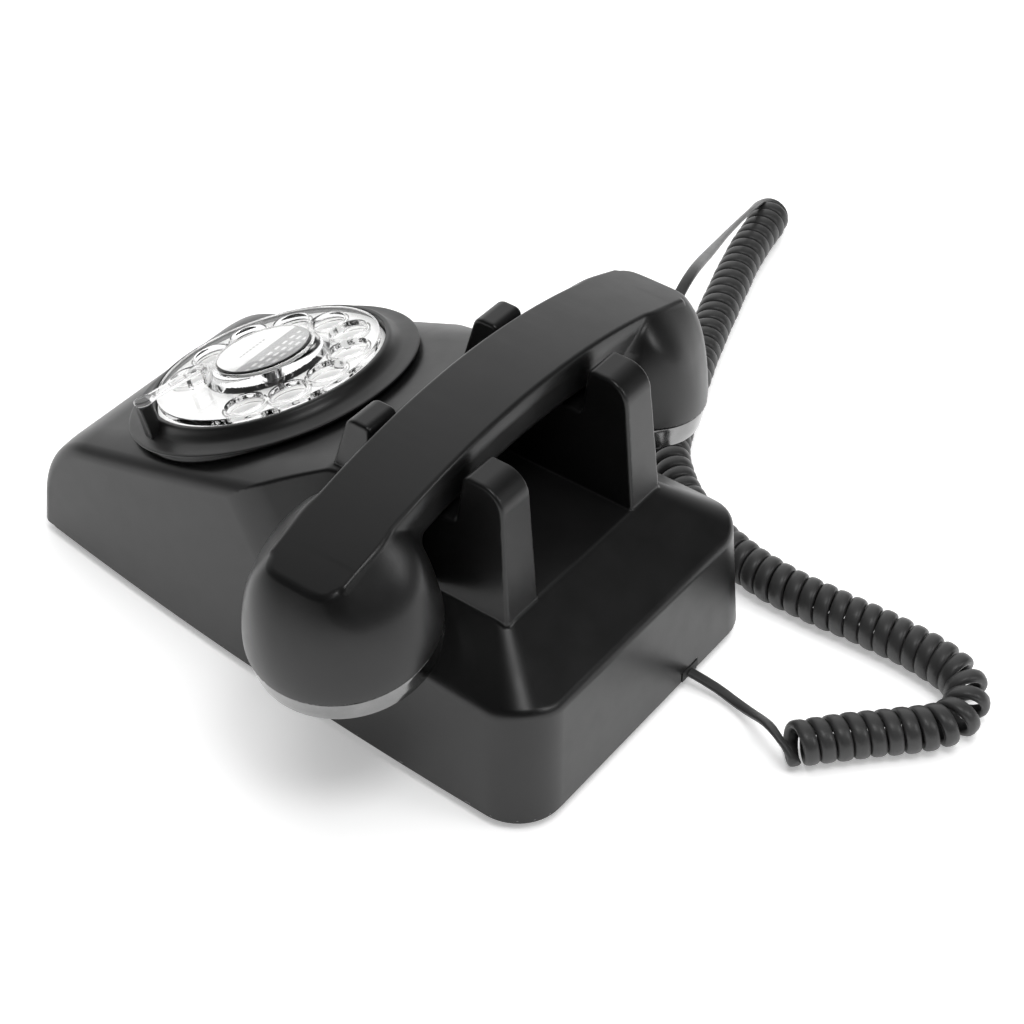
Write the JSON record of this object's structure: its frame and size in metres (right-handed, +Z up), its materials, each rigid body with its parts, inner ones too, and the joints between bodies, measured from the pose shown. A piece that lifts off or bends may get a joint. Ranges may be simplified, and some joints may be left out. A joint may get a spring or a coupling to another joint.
{
  "type": "rotary telephone",
  "caption": "Black rotary-dial desk telephone with a clear finger wheel, a handset resting across a four-eared cradle and a coiled handset cord lying on the table.",
  "frame": {"origin": "middle of the telephone's footprint on the table, under the feet", "axes": "+X is the user's right, +Y is the back, +Z is up"},
  "size_m": [0.4244, 0.3578, 0.1285],
  "materials": {
    "black_plastic": "satin moulded black plastic",
    "cap_plastic": "satin moulded black plastic, a touch lighter",
    "satin_black": "satin black",
    "white_plastic": "white with black digits",
    "clear_plastic": "clear polished plastic",
    "label_card": "printed card, half white and half grey",
    "rubber": "soft black rubber",
    "steel": "plain steel",
    "brass": "brass",
    "copper": "wound enamelled copper wire",
    "board_green": "fibreglass board",
    "cord_black": "satin black cord jacket"
  },
  "bodies": {
    "telephone": {"case_shell": "black_plastic", "base_plate": "black_plastic", "feet": "rubber", "base_screws": "steel", "dial_bezel": "satin_black", "number_plate": "white_plastic", "finger_stop": "satin_black", "finger_stop_lug": "clear_plastic", "dial_frame": "steel", "dial_bearing": "brass", "mechanism_plate": "steel", "spring_barrel": "steel", "mainspring": "steel", "governor_cup": "brass", "pulse_contacts": "steel", "hook_pin": "steel", "hook_frame": "steel", "hook_spring": "steel", "hook_contacts": "steel", "bell_frame": "steel", "gong_right": "brass", "gong_left": "brass", "gong_screws": "steel", "clapper_pin": "steel", "bell_coil": "copper", "bell_yoke": "steel", "circuit_board": "board_green", "board_screws": "steel", "speech_transformer": "satin_black", "capacitors": "satin_black", "dialler_chip": "satin_black", "line_socket": "satin_black", "cord_gland": "rubber", "cord_coil_lower": "cord_black", "cord_tail_lower": "cord_black"},
    "finger_dial": {"finger_wheel": "clear_plastic", "label_disc": "label_card", "label_cover": "clear_plastic", "dial_shaft": "steel", "main_gear": "brass"},
    "governor": {"governor_pinion": "brass", "governor_shaft": "steel", "governor_weights": "brass"},
    "handset": {"handset_shell": "black_plastic", "handset_weight": "steel", "earpiece_cap": "cap_plastic", "mouthpiece_cap": "cap_plastic", "receiver": "satin_black", "microphone": "satin_black", "handset_cord_relief": "rubber", "cord_tail_upper": "cord_black", "cord_coil_upper": "cord_black"},
    "right_plunger": {"plunger_right": "satin_black"},
    "left_plunger": {"plunger_left": "satin_black"},
    "hook": {"hook_lever": "steel"},
    "clapper": {"clapper": "steel"},
    "bell_volume": {"bell_switch": "satin_black"}
  },
  "joints": [
    {"name": "finger_wheel_turn", "type": "hinge", "parent": "telephone", "child": "finger_dial", "pos_m": [0, -0.0505, 0.0786], "axis": [0, -0.3616, 0.9323], "range_deg": [-330, 0]},
    {"name": "governor_spin", "type": "hinge", "parent": "telephone", "child": "governor", "pos_m": [-0.02091, -0.03924, 0.08297], "axis": [0, -0.3616, 0.9323], "range_deg": [0, 1320]},
    {"name": "handset_lift", "type": "slide", "parent": "telephone", "child": "handset", "axis": [0, 0, 1], "range_m": [0, 0.12]},
    {"name": "right_plunger_slide", "type": "slide", "parent": "telephone", "child": "right_plunger", "axis": [0, 0, 1], "range_m": [0, 0.004]},
    {"name": "left_plunger_slide", "type": "slide", "parent": "telephone", "child": "left_plunger", "axis": [0, 0, 1], "range_m": [0, 0.004]},
    {"name": "hook_lever_turn", "type": "hinge", "parent": "telephone", "child": "hook", "pos_m": [0, 0.084, 0.0586], "axis": [1, 0, 0], "range_deg": [-6.54, 0]},
    {"name": "clapper_swing", "type": "hinge", "parent": "telephone", "child": "clapper", "pos_m": [0, -0.007, 0.018], "axis": [0, 0, 1], "range_deg": [-1.6, 1.6]},
    {"name": "bell_volume_slide", "type": "slide", "parent": "telephone", "child": "bell_volume", "axis": [1, 0, 0], "range_m": [-0.004, 0.004]}
  ],
  "couplings": [
    {"joint": "governor_spin", "follows": "finger_wheel_turn", "ratio": -4},
    {"joint": "right_plunger_slide", "follows": "handset_lift", "ratio": 0.033333},
    {"joint": "left_plunger_slide", "follows": "handset_lift", "ratio": 0.033333},
    {"joint": "hook_lever_turn", "follows": "handset_lift", "rad_per_m": -0.95}
  ]
}
